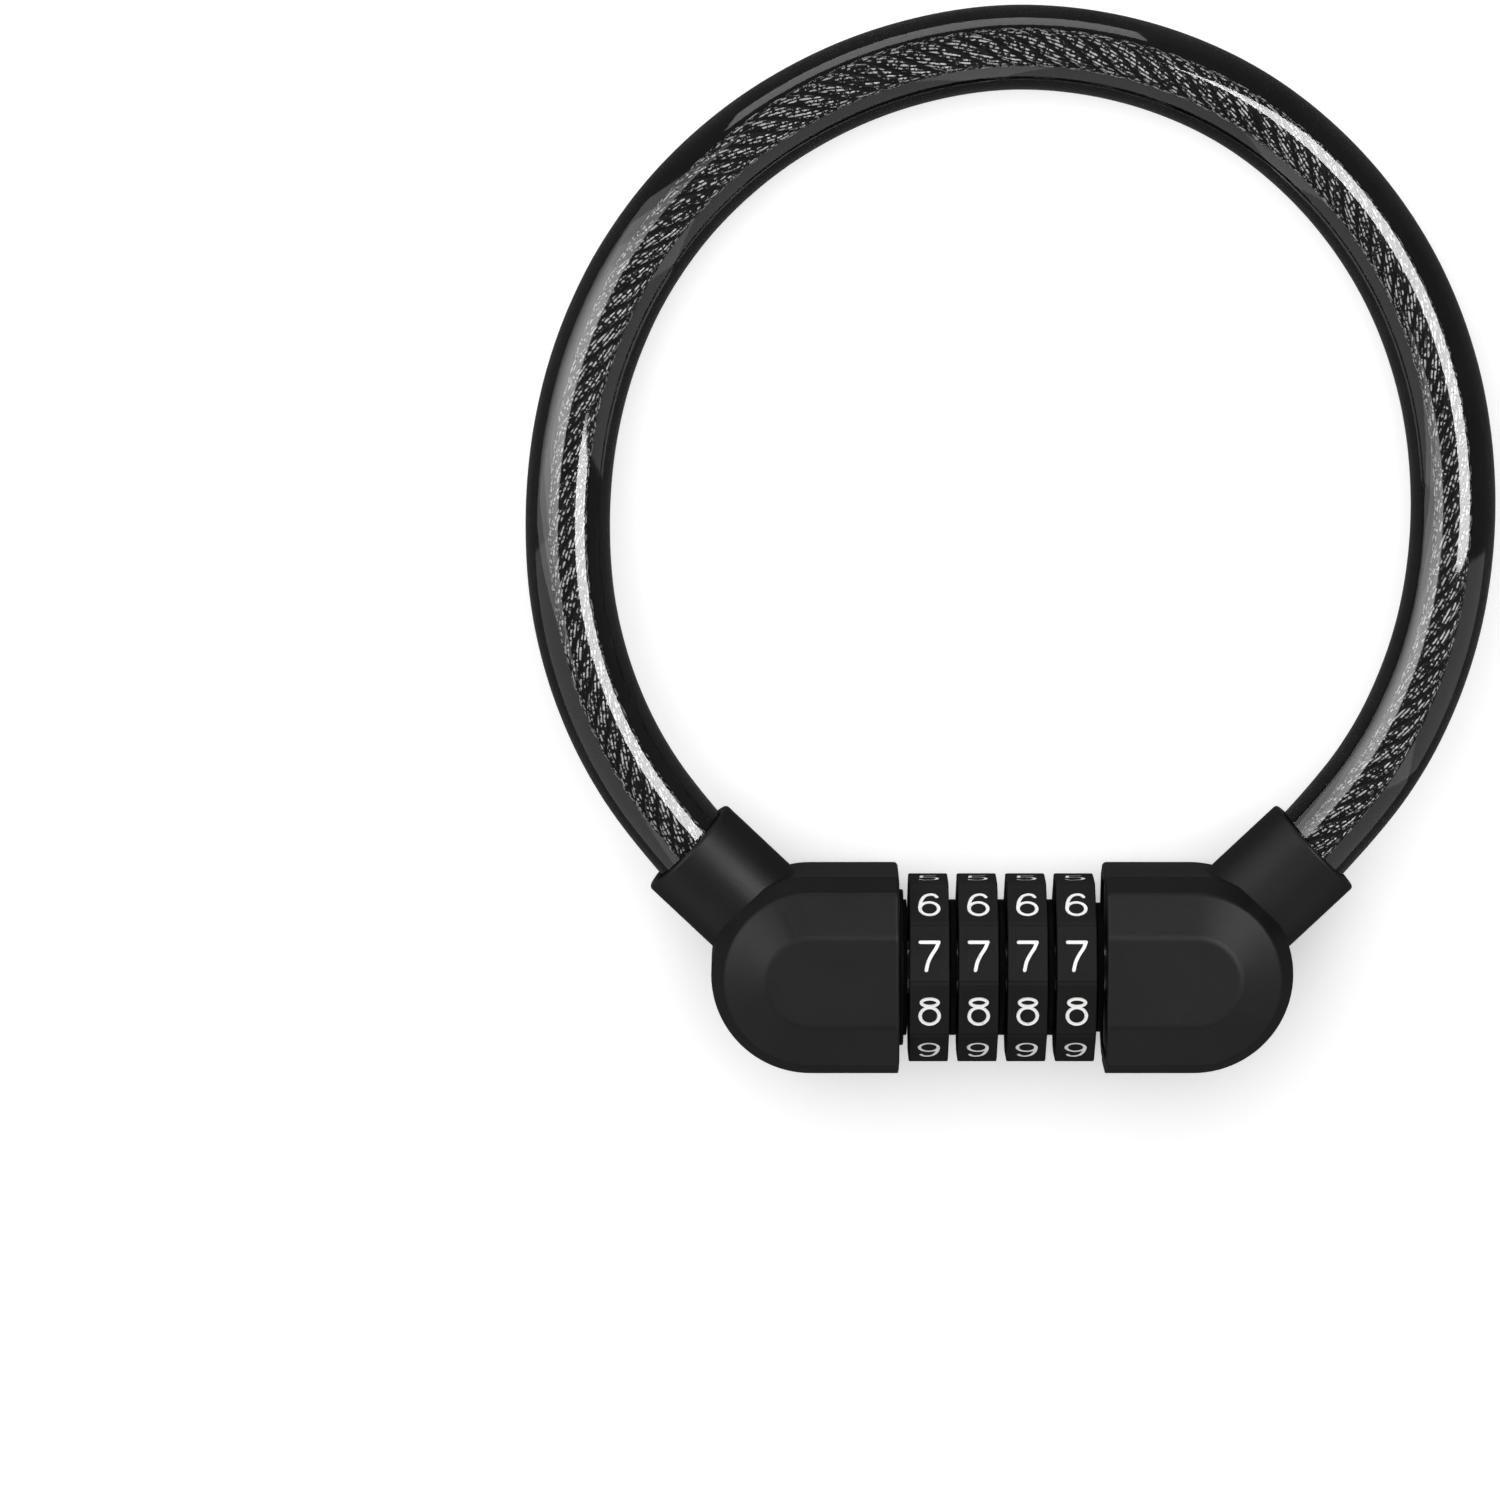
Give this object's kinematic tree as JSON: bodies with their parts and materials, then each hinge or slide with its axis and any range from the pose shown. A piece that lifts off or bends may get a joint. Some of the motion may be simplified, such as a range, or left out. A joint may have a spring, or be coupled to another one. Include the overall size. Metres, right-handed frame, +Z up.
{
  "type": "cable luggage lock",
  "caption": "Combination cable lock with number wheels on a slotted barrel, a pull-out toothed plug and a closed loop of clear-sheathed steel wire rope.",
  "frame": {"origin": "under the middle of the two heads, on the surface that they lie on; the dial axis runs 14 mm above it, at y = -4.42 mm", "axes": "+X along the dial axis from the dial head towards the plug head, +Y towards the far end of the cable loop, +Z up out of the face that shows the numbers"},
  "size_m": [0.1373, 0.1507, 0.028],
  "materials": {
    "shell_plastic": "fine spark-eroded black ABS",
    "wheel_plastic": "smooth satin black ABS",
    "hub_plastic": "satin black acetal",
    "numeral_paint": "white filled numerals",
    "core_casting": "as-cast zinc alloy",
    "lock_steel": "turned and nickel-plated steel",
    "spring_steel": "rolled spring steel",
    "wire_rope": "galvanised stranded wire",
    "sheath_vinyl": "clear smoke-tinted vinyl"
  },
  "bodies": {
    "dial_head": {"left_front_shell": "shell_plastic", "left_back_shell": "shell_plastic", "left_core": "core_casting", "left_ferrule": "lock_steel", "left_ferrule_dowel_1": "lock_steel", "left_ferrule_dowel_2": "lock_steel", "barrel": "lock_steel", "barrel_cross_pin": "lock_steel", "barrel_flange": "hub_plastic", "detent_spring": "spring_steel", "spacer_washer_1": "hub_plastic", "spacer_washer_2": "hub_plastic", "spacer_washer_3": "hub_plastic", "retaining_clip": "hub_plastic", "cable_sheath": "sheath_vinyl", "cable_core": "wire_rope"},
    "dial_1": {"number_wheel_1": "wheel_plastic", "code_ring_1": "lock_steel"},
    "dial_2": {"number_wheel_2": "wheel_plastic", "code_ring_2": "lock_steel"},
    "dial_3": {"number_wheel_3": "wheel_plastic", "code_ring_3": "lock_steel"},
    "dial_4": {"number_wheel_4": "wheel_plastic", "code_ring_4": "lock_steel"},
    "plug_head": {"right_front_shell": "shell_plastic", "right_back_shell": "shell_plastic", "plug_core": "core_casting", "right_ferrule": "lock_steel", "right_ferrule_dowel_1": "lock_steel", "right_ferrule_dowel_2": "lock_steel", "plug_pin": "lock_steel", "plug_cross_pin": "lock_steel"}
  },
  "joints": [
    {"name": "dial_1_turn", "type": "hinge", "parent": "dial_head", "child": "dial_1", "pos_m": [-0.01038, -0.00442, 0.014], "axis": [1, 0, 0], "continuous": true},
    {"name": "dial_2_turn", "type": "hinge", "parent": "dial_head", "child": "dial_2", "pos_m": [-0.00346, -0.00442, 0.014], "axis": [1, 0, 0], "continuous": true},
    {"name": "dial_3_turn", "type": "hinge", "parent": "dial_head", "child": "dial_3", "pos_m": [0.00346, -0.00442, 0.014], "axis": [1, 0, 0], "continuous": true},
    {"name": "dial_4_turn", "type": "hinge", "parent": "dial_head", "child": "dial_4", "pos_m": [0.01038, -0.00442, 0.014], "axis": [1, 0, 0], "continuous": true},
    {"name": "plug_slide", "type": "slide", "parent": "dial_head", "child": "plug_head", "axis": [1, 0, 0], "range_m": [0, 0.034], "deforming": ["cable_sheath", "cable_core"]}
  ]
}
